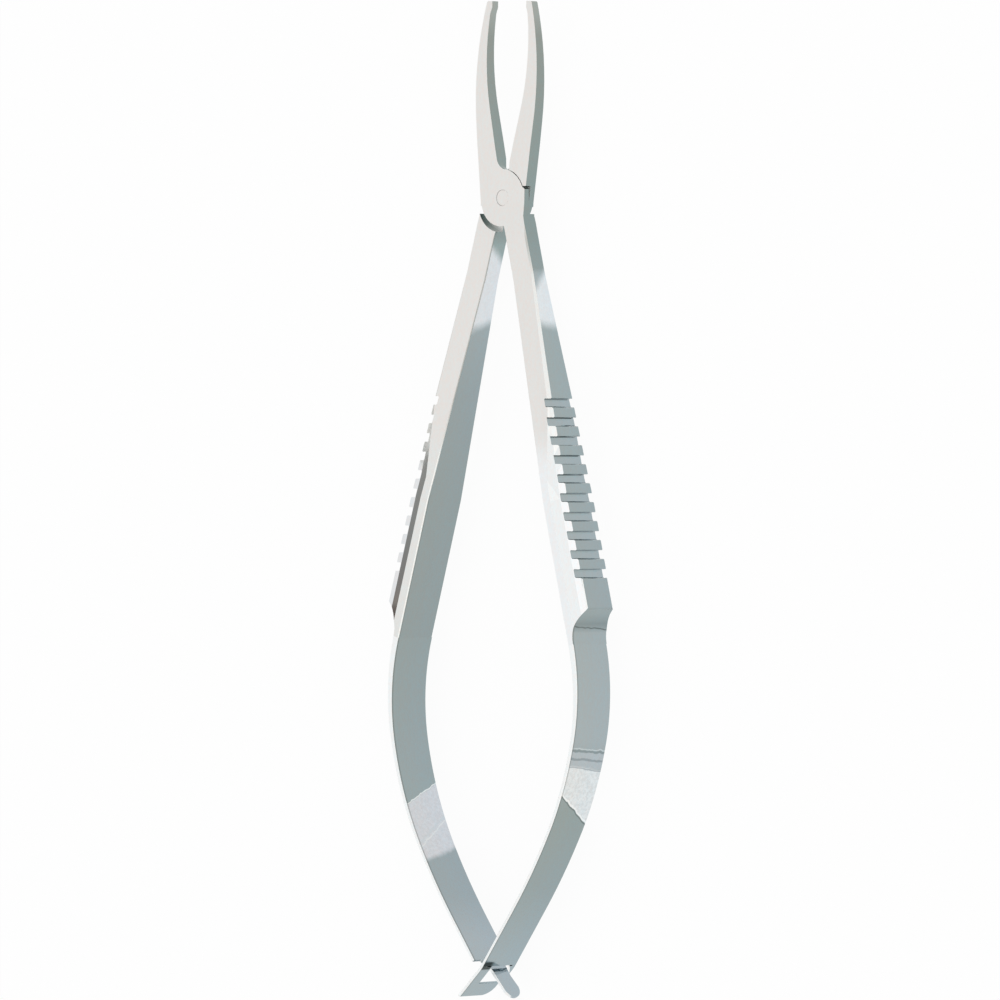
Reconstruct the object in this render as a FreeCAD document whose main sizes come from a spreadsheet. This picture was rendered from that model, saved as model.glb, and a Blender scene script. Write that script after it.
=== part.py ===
import FreeCAD, Part
import math
import os

import Sketcher

# Cilia forceps with two crossed arms, a half lap joint, toothed grips and leaf springs.
# Each arm is drawn about its own pivot axis, with the middle of its thickness at Z = 0 and the jaw
# towards +Y. The second arm is the first one turned half a turn about the long axis.

doc = FreeCAD.newDocument("CiliaForceps")

# Driving sizes, in millimetres and degrees
sizes = {
    # Height of the middle plane above the surface that the part lies on
    "body_half_height": 3.55,
    # Half lap joint
    "boss_radius": 4.0,
    "boss_corner_reach": 4.12,
    "boss_corner_rise": 1.55,
    "boss_corner_slope": 0.3,
    "boss_corner_fall": 2.5,
    "joint_half_height": 1.0,
    "joint_rise_start": 0.6,
    "joint_rise_end": 5.4,
    "joint_rise_height": 1.42,
    "shoulder_clearance": 0.11,
    "heel_shoulder_radius": 4.55,
    "heel_shoulder_drop": 0.3,
    "lap_clearance": 0.04,
    # Pivot screw
    "pivot_radius": 1.1,
    "pivot_clearance": 0.03,
    "screw_head_radius": 1.7,
    "screw_head_height": 0.4,
    "screw_slot_width": 0.35,
    "screw_slot_depth": 0.2,
    "screw_end_recess": 0.03,
    # Jaw
    "jaw_reach": 27.6,
    "jaw_lean": 0.6,
    "jaw_inner_angle": 13.1,
    "jaw_inner_radius": 36.0,
    "jaw_inner_bow": 3.87,
    "jaw_inner_apex": 20.8,
    "jaw_outer_angle": 6.5,
    "jaw_outer_radius": 45.0,
    "jaw_outer_bow": 5.68,
    "jaw_outer_apex": 16.0,
    "jaw_taper_start": 7.6,
    "jaw_tip_half_height": 0.6,
    "jaw_tip_round": 0.3,
    "pad_length": 1.75,
    "pad_step": 0.316,
    "jaw_tip_width": 1.042,
    "pad_bevel": 0.9,
    "crotch_radius": 1.9,
    "crotch_rise": 5.4,
    "crotch_reach": 0.45,
    "crotch_relief": 16.5,
    # Handle bar, measured along it from the pivot and across it from the line through the pivot
    "handle_angle": 14.8,
    "handle_inner_offset": -0.4,
    "handle_front_width": 3.72,
    "handle_rear_width": 3.98,
    "neck_distance": 1.3,
    "neck_half_height": 1.42,
    "neck_facet_reach": 0.14,
    "neck_outer_drop": 0.12,
    "neck_strip_reach": 0.07,
    "neck_strip_drop": 0.06,
    "root_distance": 5.6,
    "root_half_height": 1.42,
    "root_facet_reach": 0.2,
    "root_outer_drop": 0.2,
    "root_strip_reach": 0.1,
    "root_strip_drop": 0.1,
    "taper_distance": 11.8,
    "taper_half_height": 1.45,
    "taper_facet_reach": 0.26,
    "taper_outer_drop": 0.26,
    "taper_strip_reach": 0.13,
    "taper_strip_drop": 0.13,
    "slope_distance": 30.5,
    "slope_half_height": 2.66,
    "slope_facet_reach": 0.5,
    "slope_outer_drop": 0.46,
    "slope_strip_reach": 0.42,
    "slope_strip_drop": 0.06,
    "grip_distance": 41.0,
    "grip_half_height": 3.35,
    "grip_facet_reach": 2.5,
    "grip_outer_drop": 0.8,
    "grip_strip_reach": 1.08,
    "grip_strip_drop": 0.52,
    "palm_distance": 44.0,
    "palm_half_height": 3.55,
    "palm_facet_reach": 2.5,
    "palm_outer_drop": 0.84,
    "palm_strip_reach": 1.08,
    "palm_strip_drop": 0.55,
    "heel_distance": 64.3,
    "heel_half_height": 3.55,
    "heel_facet_reach": 2.5,
    "heel_outer_drop": 0.84,
    "heel_strip_reach": 1.08,
    "heel_strip_drop": 0.55,
    # Step from the grip to the leaf
    "step_angle": 60.0,
    "step_radius": 4.5,
    # Cross grooves of the grip
    "groove_count": 10,
    "groove_first": 29.6,
    "groove_pitch": 2.718,
    "groove_width": 1.2,
    "groove_depth": 1.0,
    # Leaf spring
    "leaf_half_height": 3.55,
    "leaf_root_thickness": 0.95,
    "leaf_front_thickness": 0.6,
    "leaf_middle_thickness": 0.42,
    "leaf_tail_thickness": 0.4,
    "leaf_front_radius": 32.0,
    "leaf_front_heading": 11.0,
    "leaf_middle_radius": 50.0,
    "leaf_middle_heading": 28.0,
    "leaf_rear_radius": 90.0,
    "leaf_tail_heading": 35.3,
    "leaf_lean": 1.2,
    "crossing_offset": 0.4,
    # Hook at the end of the front leaf
    "hook_reach": 5.2,
    "hook_flare": 10.0,
    "hook_flare_radius": 5.0,
    "hook_flare_start": 0.95,
    "hook_slot_start": 0.85,
    "hook_slot_end": 2.55,
    "hook_neck_height": 2.08,
    "hook_slot_mouth": 1.2,
    "hook_slot_slope": 1.4,
    "hook_round": 1.9,
    "hook_end_height": 4.45,
    # Tongue at the end of the back leaf
    "tongue_reach": 4.6,
    "tongue_top": 0.9,
    "tongue_neck_height": 3.2,
    "tongue_end_radius": 1.6,
    "tongue_end_drop": 1.15,
    "tongue_shoulder": 1.75,
    "tongue_shoulder_height": 1.5,
    "tongue_throat": 1.1,
    "tongue_heel": 0.72,
}

sheet = doc.addObject("Spreadsheet::Sheet", "Sizes")
for row, (alias, number) in enumerate(sizes.items(), start=1):
    sheet.set(f"A{row}", alias)
    sheet.set(f"B{row}", str(number))
    sheet.setAlias(f"B{row}", alias)
doc.recompute()

# Sizes that follow from the driving ones, as formulas of the same document
layout = doc.addObject("App::VarSet", "Layout")


def derive(name, formula):
    """Adds one worked out size to the layout."""
    layout.addProperty("App::PropertyFloat", name)
    layout.setExpression(name, formula)
    doc.recompute()


def value(formula):
    """Present value of a formula, for the first position of a sketch line."""
    return float(layout.evalExpression(formula))


# Directions along the handle and across it, outwards
derive("along_x", "sin(Sizes.handle_angle * 1 deg)")
derive("along_y", "-cos(Sizes.handle_angle * 1 deg)")
derive("across_x", "cos(Sizes.handle_angle * 1 deg)")
derive("across_y", "sin(Sizes.handle_angle * 1 deg)")


def bar_point(along, across):
    """Plan formulas of a point given along and across the handle bar."""
    x = f"({along}) * Layout.along_x + ({across}) * Layout.across_x"
    y = f"({along}) * Layout.along_y + ({across}) * Layout.across_y"
    return x, y


# Where the step leaves the outer side of the grip
derive("step_foot", "Sizes.heel_distance - Sizes.step_radius * sin(Sizes.step_angle * 1 deg)")
derive("step_foot_across", "Sizes.handle_inner_offset + Sizes.leaf_root_thickness"
       " + Sizes.step_radius * (1 - cos(Sizes.step_angle * 1 deg))")
derive("outer_rear_across", "Sizes.handle_inner_offset + Sizes.handle_rear_width")
derive("grip_end", "step_foot - (outer_rear_across - step_foot_across) / tan(Sizes.step_angle * 1 deg)")
derive("outer_spread", "(Sizes.handle_rear_width - Sizes.handle_front_width) / grip_end")
derive("outer_angle", "Sizes.handle_angle + atan(outer_spread) / 1 deg")

# The curve of each leaf, from the heel of its handle to the crossing with the other leaf. The pair leans
# a little to the front arm's side, so the front leaf turns in less and the back leaf more.
derive("leaf_x0", "Sizes.heel_distance * along_x + Sizes.handle_inner_offset * across_x")
derive("leaf_y0", "Sizes.heel_distance * along_y + Sizes.handle_inner_offset * across_y")
bend_radii = {0: "leaf_front_radius", 1: "leaf_middle_radius", 2: "leaf_rear_radius"}
bend_radii[4] = "hook_flare_radius"
bent = ["leaf_root_thickness", "leaf_front_thickness", "leaf_middle_thickness", "leaf_tail_thickness"]
tail = ["leaf_tail_thickness"]
leaf_thicknesses = {"front": bent + tail + tail + tail, "back": bent + tail}


def end_bend(leaf, bend):
    """Derives where a bend of the leaf ends, from where it starts."""
    before = f"({leaf}_heading{bend} * 1 deg)"
    after = f"({leaf}_heading{bend + 1} * 1 deg)"
    radius = f"Sizes.{bend_radii[bend]}"
    derive(f"{leaf}_x{bend + 1}", f"{leaf}_x{bend} + {radius} * (cos({after}) - cos({before}))")
    derive(f"{leaf}_y{bend + 1}", f"{leaf}_y{bend} - {radius} * (sin({after}) - sin({before}))")


def end_straight(leaf, start, run):
    """Derives where a straight stretch of the leaf ends."""
    derive(f"{leaf}_heading{start + 1}", f"{leaf}_heading{start}")
    derive(f"{leaf}_x{start + 1}", f"{leaf}_x{start} - ({run}) * sin({leaf}_heading{start} * 1 deg)")
    derive(f"{leaf}_y{start + 1}", f"{leaf}_y{start} - ({run}) * cos({leaf}_heading{start} * 1 deg)")


for leaf, sign in (("front", "-"), ("back", "+")):
    derive(f"{leaf}_heading0", "-Sizes.handle_angle")
    derive(f"{leaf}_heading1", "Sizes.leaf_front_heading")
    derive(f"{leaf}_heading2", f"Sizes.leaf_middle_heading {sign} Sizes.leaf_lean")
    derive(f"{leaf}_heading3", f"Sizes.leaf_tail_heading {sign} Sizes.leaf_lean")
    derive(f"{leaf}_x0", "leaf_x0")
    derive(f"{leaf}_y0", "leaf_y0")
    for bend in range(3):
        end_bend(leaf, bend)
    derive(f"{leaf}_tail_x", f"-sin({leaf}_heading3 * 1 deg)")
    derive(f"{leaf}_tail_y", f"-cos({leaf}_heading3 * 1 deg)")
    offset = "Sizes.crossing_offset" if leaf == "front" else "-Sizes.crossing_offset"
    middle = f"{leaf}_x3 - Sizes.leaf_tail_thickness / 2 * {leaf}_tail_y"
    derive(f"{leaf}_cross_run", f"-({middle} - {offset}) / {leaf}_tail_x")

# The back leaf's tail is straight to its end, the front leaf's flares outwards at the hook
end_straight("back", 3, "back_cross_run + 8")
end_straight("front", 3, "front_cross_run - Sizes.hook_flare_start")
derive("front_heading5", "front_heading4 + Sizes.hook_flare")
end_bend("front", 4)
derive("hook_run", "(Sizes.hook_reach + Sizes.hook_flare_start"
       " - Sizes.hook_flare_radius * sin(Sizes.hook_flare * 1 deg)) / cos(Sizes.hook_flare * 1 deg)")
end_straight("front", 5, "hook_run + 3")

# The part's frame has its origin half way between the jaws' tips and the rear end of the hook
derive("rear_reach", "-front_y5 + hook_run * cos(front_heading5 * 1 deg)"
       " - Sizes.leaf_tail_thickness / cos(Sizes.hook_flare * 1 deg) * front_tail_x")
derive("pivot_place", "(rear_reach - Sizes.jaw_reach) / 2")


def origin_plane(body, role):
    """One of the three origin planes of a body."""
    return [plane for plane in body.Origin.OriginFeatures if plane.Role == role][0]


def new_sketch(body, name, role="XY_Plane"):
    """An empty sketch on an origin plane of the body."""
    sketch = body.newObject("Sketcher::SketchObject", name)
    sketch.AttachmentSupport = (origin_plane(body, role), [""])
    sketch.MapMode = "FlatFace"
    return sketch


def arc_through(start, end, radius, side):
    """Short arc from start to end, with its centre on the left (1) or right (-1) of that way."""
    chord = end - start
    middle = (start + end) * 0.5
    left = FreeCAD.Vector(-chord.y, chord.x, 0).normalize()
    rise = math.sqrt(radius ** 2 - (chord.Length / 2) ** 2)
    centre = middle + left * (side * rise)
    crown = centre - left * (side * radius)
    return Part.Arc(start, crown, end)


def bind(sketch, constraint, formula):
    """Adds a constraint and ties its value to a formula."""
    index = sketch.addConstraint(constraint)
    sketch.setExpression(f"Constraints[{index}]", formula)


def trace(sketch, corners):
    """Closed outline through corners (x, y) or (x, y, radius, side), where an arc leaves the corner."""
    places = [FreeCAD.Vector(value(corner[0]), value(corner[1]), 0) for corner in corners]
    ends = []
    for index, corner in enumerate(corners):
        start = places[index]
        end = places[(index + 1) % len(corners)]
        if len(corner) == 2:
            edge = sketch.addGeometry(Part.LineSegment(start, end), False)
        else:
            edge = sketch.addGeometry(arc_through(start, end, value(corner[2]), corner[3]), False)
        first = 1
        if (sketch.getPoint(edge, 1) - start).Length > (sketch.getPoint(edge, 2) - start).Length:
            first = 2
        ends.append((edge, first, 3 - first))
    for index, corner in enumerate(corners):
        edge, first, last = ends[index]
        following, start, _ = ends[(index + 1) % len(corners)]
        sketch.addConstraint(Sketcher.Constraint("Coincident", edge, last, following, start))
        bind(sketch, Sketcher.Constraint("DistanceX", -1, 1, edge, first, places[index].x), corner[0])
        bind(sketch, Sketcher.Constraint("DistanceY", -1, 1, edge, first, places[index].y), corner[1])
        if len(corner) > 2:
            bind(sketch, Sketcher.Constraint("Radius", edge, value(corner[2])), corner[2])


def trace_circle(sketch, radius):
    """Circle about the origin of the sketch."""
    circle = Part.Circle(FreeCAD.Vector(0, 0, 0), FreeCAD.Vector(0, 0, 1), value(radius))
    edge = sketch.addGeometry(circle, False)
    sketch.addConstraint(Sketcher.Constraint("Coincident", edge, 3, -1, 1))
    bind(sketch, Sketcher.Constraint("Radius", edge, value(radius)), radius)


def pad_both_ways(body, name, sketch, half_height):
    """Pad of a plan outline, as far above its plane as below it."""
    pad = body.newObject("PartDesign::Pad", name)
    pad.Profile = sketch
    pad.SideType = "Symmetric"
    pad.setExpression("Length", f"2 * ({half_height})")
    doc.recompute()
    return pad


def cut_through(body, name, sketch, both_ways=True):
    """Pocket of an outline through the whole body."""
    before = body.Shape.Volume
    pocket = body.newObject("PartDesign::Pocket", name)
    pocket.Profile = sketch
    pocket.Type = "ThroughAll"
    if both_ways:
        pocket.SideType = "Symmetric"
    doc.recompute()
    if not body.Shape.Volume < before:
        raise RuntimeError(f"{name} cuts nothing")
    return pocket


def turn_across(sketch, along, angle):
    """Turns a sketch on the XZ plane to face along the bar and moves it down the bar."""
    turn = FreeCAD.Rotation(FreeCAD.Vector(0, 1, 0), 1)
    sketch.AttachmentOffset = FreeCAD.Placement(FreeCAD.Vector(1, 0, 1), turn)
    sketch.setExpression("AttachmentOffset.Base.x", f"({along}) * Layout.along_x")
    sketch.setExpression("AttachmentOffset.Base.z", f"-({along}) * Layout.along_y")
    sketch.setExpression("AttachmentOffset.Rotation.Angle", angle)


def handle_section(body, station):
    """Eight sided section of the bar: flat inside, a facet and a lower strip towards the outer side."""
    sketch = new_sketch(body, f"{body.Label}_{station}_section", "XZ_Plane")
    along = f"Sizes.{station}_distance"
    turn_across(sketch, along, "Sizes.handle_angle")
    inner = "Sizes.handle_inner_offset"
    outer = f"Sizes.handle_inner_offset + Sizes.handle_front_width + Layout.outer_spread * {along}"
    ridge = f"{outer} - Sizes.{station}_facet_reach"
    strip = f"{outer} - Sizes.{station}_strip_reach"
    top = f"Sizes.{station}_half_height"
    strip_top = f"Sizes.{station}_half_height - Sizes.{station}_strip_drop"
    outer_top = f"Sizes.{station}_half_height - Sizes.{station}_outer_drop"
    trace(sketch, [
        (inner, f"-({top})"),
        (ridge, f"-({top})"),
        (strip, f"-({strip_top})"),
        (outer, f"-({outer_top})"),
        (outer, outer_top),
        (strip, strip_top),
        (ridge, top),
        (inner, top),
    ])
    return sketch


def add_bar(body):
    """Handle bar, lofted straight from section to section."""
    stations = ["neck", "root", "taper", "slope", "grip", "palm", "heel"]
    sections = [handle_section(body, station) for station in stations]
    doc.recompute()
    loft = body.newObject("PartDesign::AdditiveLoft", f"{body.Label}_bar")
    loft.Profile = sections[0]
    loft.Sections = sections[1:]
    loft.Ruled = True
    doc.recompute()


def cut_step(body):
    """Curved step on the outer side, from the end of the grip down to the leaf's thickness."""
    sketch = new_sketch(body, f"{body.Label}_step")
    past = "Layout.outer_rear_across + 2"
    foot = "Layout.step_foot_across"
    leaf_side = "Sizes.handle_inner_offset + Sizes.leaf_root_thickness"
    slope = "(Layout.outer_rear_across + 2 - Layout.step_foot_across) / tan(Sizes.step_angle * 1 deg)"
    trace(sketch, [
        bar_point("Sizes.heel_distance", leaf_side) + ("Sizes.step_radius", -1),
        bar_point("Layout.step_foot", foot),
        bar_point(f"Layout.step_foot - {slope}", past),
        bar_point("Sizes.heel_distance + 2", past),
        bar_point("Sizes.heel_distance + 2", leaf_side),
    ])
    doc.recompute()
    cut_through(body, f"{body.Label}_step_cut", sketch)


def cut_grooves(body):
    """Row of square cross grooves along the outer side of the grip, level with the long axis."""
    sketch = new_sketch(body, f"{body.Label}_groove")
    turn = FreeCAD.Rotation(FreeCAD.Vector(0, 0, 1), 1)
    sketch.AttachmentOffset = FreeCAD.Placement(FreeCAD.Vector(0, 0, 0), turn)
    sketch.setExpression("AttachmentOffset.Rotation.Angle", "Layout.outer_angle")
    floor = ("(Sizes.handle_inner_offset + Sizes.handle_front_width)"
             " * cos((Layout.outer_angle - Sizes.handle_angle) * 1 deg) - Sizes.groove_depth")
    lean = "tan(Layout.outer_angle * 1 deg)"
    span = "2 * Sizes.groove_depth"
    top = "-Sizes.groove_first"
    bottom = "-Sizes.groove_first - Sizes.groove_width / cos(Layout.outer_angle * 1 deg)"
    trace(sketch, [
        (floor, bottom),
        (f"{floor} + {span}", f"{bottom} - {span} * {lean}"),
        (f"{floor} + {span}", f"{top} - {span} * {lean}"),
        (floor, top),
    ])
    doc.recompute()
    groove = cut_through(body, f"{body.Label}_groove_cut", sketch)
    pattern = body.newObject("PartDesign::LinearPattern", f"{body.Label}_groove_row")
    pattern.Originals = [groove]
    pattern.Direction = (sketch, ["V_Axis"])
    pattern.Reversed = True
    pattern.setExpression("Length", "Sizes.groove_pitch * (Sizes.groove_count - 1)")
    pattern.setExpression("Occurrences", "Sizes.groove_count")
    body.Tip = pattern
    doc.recompute()
    return pattern


def add_boss(body):
    """Round plate of the lap joint, with a corner block beside the handle."""
    sketch = new_sketch(body, f"{body.Label}_boss")
    radius = "Sizes.boss_radius"
    rise = "Sizes.boss_corner_rise"
    fall = "-Sizes.boss_corner_fall"
    top_x = "sqrt(Sizes.boss_radius ^ 2 - Sizes.boss_corner_rise ^ 2)"
    low_x = "sqrt(Sizes.boss_radius ^ 2 - Sizes.boss_corner_fall ^ 2)"
    trace(sketch, [
        (top_x, rise, radius, 1),
        ("0", radius, radius, 1),
        (f"-{radius}", "0", radius, 1),
        ("0", f"-{radius}", radius, 1),
        (low_x, fall),
        ("Sizes.boss_corner_reach", fall),
        ("Sizes.boss_corner_reach", f"{rise} - Sizes.boss_corner_slope"),
    ])
    doc.recompute()
    pad_both_ways(body, f"{body.Label}_boss_plate", sketch, "Sizes.joint_rise_height")


def add_jaw(body, lean):
    """Bowed jaw with a gripping pad inside its tip; the pair leans a little to one side."""
    sketch = new_sketch(body, f"{body.Label}_jaw")
    turn = FreeCAD.Rotation(FreeCAD.Vector(0, 0, 1), 1)
    sketch.AttachmentOffset = FreeCAD.Placement(FreeCAD.Vector(0, 0, 0), turn)
    sketch.setExpression("AttachmentOffset.Rotation.Angle", f"{lean}Sizes.jaw_lean")
    inner_x = "-(Sizes.jaw_inner_bow - Sizes.jaw_inner_radius * (1 - cos(Sizes.jaw_inner_angle * 1 deg)))"
    inner_y = "Sizes.jaw_inner_apex - Sizes.jaw_inner_radius * sin(Sizes.jaw_inner_angle * 1 deg)"
    outer_x = "-(Sizes.jaw_outer_bow - Sizes.jaw_outer_radius * (1 - cos(Sizes.jaw_outer_angle * 1 deg)))"
    outer_y = "Sizes.jaw_outer_apex - Sizes.jaw_outer_radius * sin(Sizes.jaw_outer_angle * 1 deg)"
    outer_root_y = "Sizes.boss_radius / 5"
    crotch_x = f"{inner_x} + (({inner_y}) - Sizes.crotch_rise) * tan(Sizes.jaw_inner_angle * 1 deg)"
    crotch_y = "sqrt(Sizes.boss_radius ^ 2 - Sizes.crotch_reach ^ 2)"
    outer_root_x = f"{outer_x} + (({outer_y}) - {outer_root_y}) * tan(Sizes.jaw_outer_angle * 1 deg)"
    pad_start = "Sizes.jaw_reach - Sizes.pad_length"
    past_apex = "(Sizes.jaw_reach - Sizes.pad_length - Sizes.jaw_inner_apex)"
    pad_start_x = ("-(Sizes.jaw_inner_bow - Sizes.jaw_inner_radius"
                   f" + sqrt(Sizes.jaw_inner_radius ^ 2 - {past_apex} ^ 2))")
    tip_side_y = "Sizes.jaw_reach - Sizes.jaw_tip_round"
    pad_x = f"{pad_start_x} + Sizes.pad_step"
    tip_outer_x = f"{pad_x} - Sizes.jaw_tip_width"
    trace(sketch, [
        ("Sizes.crotch_reach", crotch_y, "Sizes.crotch_radius", -1),
        (crotch_x, "Sizes.crotch_rise"),
        (inner_x, inner_y, "Sizes.jaw_inner_radius", -1),
        (pad_start_x, pad_start),
        (pad_x, f"{pad_start} + Sizes.pad_bevel"),
        (pad_x, "Sizes.jaw_reach"),
        (f"{tip_outer_x} + Sizes.jaw_tip_round", "Sizes.jaw_reach", "Sizes.jaw_tip_round * 1.05", 1),
        (tip_outer_x, tip_side_y, "Sizes.jaw_outer_radius", 1),
        (outer_x, outer_y),
        (outer_root_x, outer_root_y),
        ("-Sizes.boss_radius", "-Sizes.boss_radius * 0.3"),
        ("0", "-Sizes.boss_radius * 0.3"),
        ("0", "Sizes.boss_radius / 2"),
        ("Sizes.crotch_reach", "Sizes.boss_radius / 2"),
    ])
    doc.recompute()
    pad_both_ways(body, f"{body.Label}_jaw_plate", sketch, "Sizes.joint_rise_height")


def cut_profile(body):
    """Thickness seen from the side: level at the joint, thinner to the tips, rising to the handle."""
    profile = new_sketch(body, f"{body.Label}_profile", "YZ_Plane")
    clear = "Sizes.joint_rise_height + 2"
    for sign in ("", "-"):
        trace(profile, [
            ("-Sizes.joint_rise_end", f"{sign}(Sizes.joint_rise_height)"),
            ("-Sizes.joint_rise_start", f"{sign}(Sizes.joint_half_height)"),
            ("Sizes.jaw_taper_start", f"{sign}(Sizes.joint_half_height)"),
            ("Sizes.jaw_reach", f"{sign}(Sizes.jaw_tip_half_height)"),
            ("Sizes.jaw_reach + 1", f"{sign}(Sizes.jaw_tip_half_height)"),
            ("Sizes.jaw_reach + 1", f"{sign}({clear})"),
            ("-Sizes.joint_rise_end", f"{sign}({clear})"),
        ])
    doc.recompute()
    cut_through(body, f"{body.Label}_profile_cut", profile)


def cut_lap(body):
    """Half of the joint's thickness is cut away for the other arm, up to a shoulder at each end."""
    sketch = new_sketch(body, f"{body.Label}_lap")
    sketch.AttachmentOffset = FreeCAD.Placement(FreeCAD.Vector(0, 0, 1), FreeCAD.Rotation())
    sketch.setExpression("AttachmentOffset.Base.z", "Sizes.lap_clearance / 2")
    jaw_radius = "(Sizes.boss_radius + Sizes.shoulder_clearance)"
    rise = "(Sizes.boss_corner_rise + Sizes.shoulder_clearance)"
    jaw_x = f"sqrt({jaw_radius} ^ 2 - {rise} ^ 2)"
    heel_radius = "Sizes.heel_shoulder_radius"
    drop = "Sizes.heel_shoulder_drop"
    wide = "Sizes.heel_shoulder_radius * 1.4"
    relief_x = f"{jaw_radius} * sin(Sizes.crotch_relief * 1 deg)"
    relief_y = f"{jaw_radius} * cos(Sizes.crotch_relief * 1 deg)"
    relief_top = "Sizes.crotch_rise + Sizes.shoulder_clearance"
    trace(sketch, [
        (f"-({jaw_x})", rise, jaw_radius, -1),
        (f"-({relief_x})", relief_y),
        (f"-({relief_x}) - Sizes.shoulder_clearance / 2", relief_top),
        (relief_x, relief_top),
        (relief_x, relief_y, jaw_radius, -1),
        (jaw_x, rise),
        (wide, rise),
        (wide, f"-{drop}"),
        (heel_radius, f"-{drop}", heel_radius, -1),
        ("0", f"-{heel_radius} - {drop}", heel_radius, -1),
        (f"-{heel_radius}", f"-{drop}"),
        (f"-({wide})", f"-{drop}"),
        (f"-({wide})", rise),
    ])
    doc.recompute()
    cut_through(body, f"{body.Label}_lap_cut", sketch, both_ways=False)


def cut_bore(body, counterbore):
    """Bore for the pivot, with a seat for the screw's head in one of the two arms."""
    bore = new_sketch(body, f"{body.Label}_bore")
    trace_circle(bore, "Sizes.pivot_radius + Sizes.pivot_clearance")
    doc.recompute()
    cut_through(body, f"{body.Label}_bore_cut", bore)
    if counterbore:
        seat = new_sketch(body, f"{body.Label}_head_seat")
        seat.AttachmentOffset = FreeCAD.Placement(FreeCAD.Vector(0, 0, 1), FreeCAD.Rotation())
        floor = "Sizes.joint_half_height - Sizes.screw_head_height - Sizes.pivot_clearance"
        seat.setExpression("AttachmentOffset.Base.z", floor)
        trace_circle(seat, "Sizes.screw_head_radius + Sizes.pivot_clearance")
        doc.recompute()
        before = body.Shape.Volume
        pocket = body.newObject("PartDesign::Pocket", f"{body.Label}_head_seat_cut")
        pocket.Profile = seat
        pocket.Type = "ThroughAll"
        pocket.Reversed = True
        doc.recompute()
        if not body.Shape.Volume < before:
            raise RuntimeError("The seat of the screw's head cuts nothing")


def make_arm(name, counterbore, lean):
    """One arm: jaw, half of the lap joint and toothed handle, in one piece of steel."""
    body = doc.addObject("PartDesign::Body", name)
    body.Label = name
    add_bar(body)
    cut_step(body)
    cut_grooves(body)
    add_boss(body)
    add_jaw(body, lean)
    cut_profile(body)
    cut_lap(body)
    cut_bore(body, counterbore)
    return body


def leaf_edge(leaf, outward):
    """Corners of one side of the leaf, from the heel to the end of the tail."""
    corners = []
    for index, thickness in enumerate(leaf_thicknesses[leaf]):
        thick = f"Sizes.{thickness}" if outward else "0"
        x = f"Layout.{leaf}_x{index} + {thick} * cos(Layout.{leaf}_heading{index} * 1 deg)"
        y = f"Layout.{leaf}_y{index} - {thick} * sin(Layout.{leaf}_heading{index} * 1 deg)"
        corners.append((x, y))
    return corners


def leaf_plan(body, leaf):
    """Leaf seen from above: tangent bends and straight stretches, thinning towards the tail."""
    sketch = new_sketch(body, f"{body.Label}_plan")
    inner = leaf_edge(leaf, False)
    outer = leaf_edge(leaf, True)
    thicknesses = leaf_thicknesses[leaf]
    last = len(thicknesses) - 1
    outline = []
    for index in range(last):
        arc = (f"Sizes.{bend_radii[index]}", -1) if index in bend_radii else ()
        outline.append(inner[index] + arc)
    outline.append(inner[last])
    outline.append(outer[last])
    for index in range(last - 1, 0, -1):
        mean = f"(Sizes.{thicknesses[index]} + Sizes.{thicknesses[index - 1]}) / 2"
        arc = (f"Sizes.{bend_radii[index - 1]} + {mean}", 1) if index - 1 in bend_radii else ()
        outline.append(outer[index] + arc)
    outline.append(outer[0])
    trace(sketch, outline)
    doc.recompute()
    return sketch


def leaf_side_sketch(body, name, leaf):
    """Sketch in the plane of the tail, with its origin where the two leaves cross."""
    sketch = new_sketch(body, name, "XZ_Plane")
    turn = FreeCAD.Rotation(FreeCAD.Vector(0, 1, 0), 1)
    sketch.AttachmentOffset = FreeCAD.Placement(FreeCAD.Vector(1, 0, 1), turn)
    across = f"Layout.{leaf}_x3 + Layout.{leaf}_cross_run * Layout.{leaf}_tail_x"
    along = f"Layout.{leaf}_y3 + Layout.{leaf}_cross_run * Layout.{leaf}_tail_y"
    sketch.setExpression("AttachmentOffset.Base.x", across)
    sketch.setExpression("AttachmentOffset.Base.z", f"-({along})")
    sketch.setExpression("AttachmentOffset.Rotation.Angle", f"-(90 + Layout.{leaf}_heading3)")
    return sketch


def hook_waste():
    """What is cut from the front leaf's end: a slot from its lower edge leaves a neck and a hook."""
    edge = "Sizes.leaf_half_height"
    clear = "(Sizes.leaf_half_height + 1)"
    neck = "Sizes.leaf_half_height - Sizes.hook_neck_height"
    end_low = "Sizes.leaf_half_height - Sizes.hook_end_height"
    return [
        ("Sizes.hook_slot_mouth", f"-{clear}"),
        ("Sizes.hook_slot_mouth", f"-{edge}"),
        ("-Sizes.hook_slot_start", f"-{edge} + Sizes.hook_slot_slope"),
        ("-Sizes.hook_slot_start", neck),
        ("Sizes.hook_slot_end", neck),
        ("Sizes.hook_slot_end", f"{end_low} - Sizes.hook_round"),
        ("Sizes.hook_reach - Sizes.hook_round", f"{end_low} - Sizes.hook_round", "Sizes.hook_round", 1),
        ("Sizes.hook_reach", end_low),
        ("Sizes.hook_reach", clear),
        ("Sizes.leaf_half_height * 2.5", clear),
        ("Sizes.leaf_half_height * 2.5", f"-{clear}"),
    ]


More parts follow.
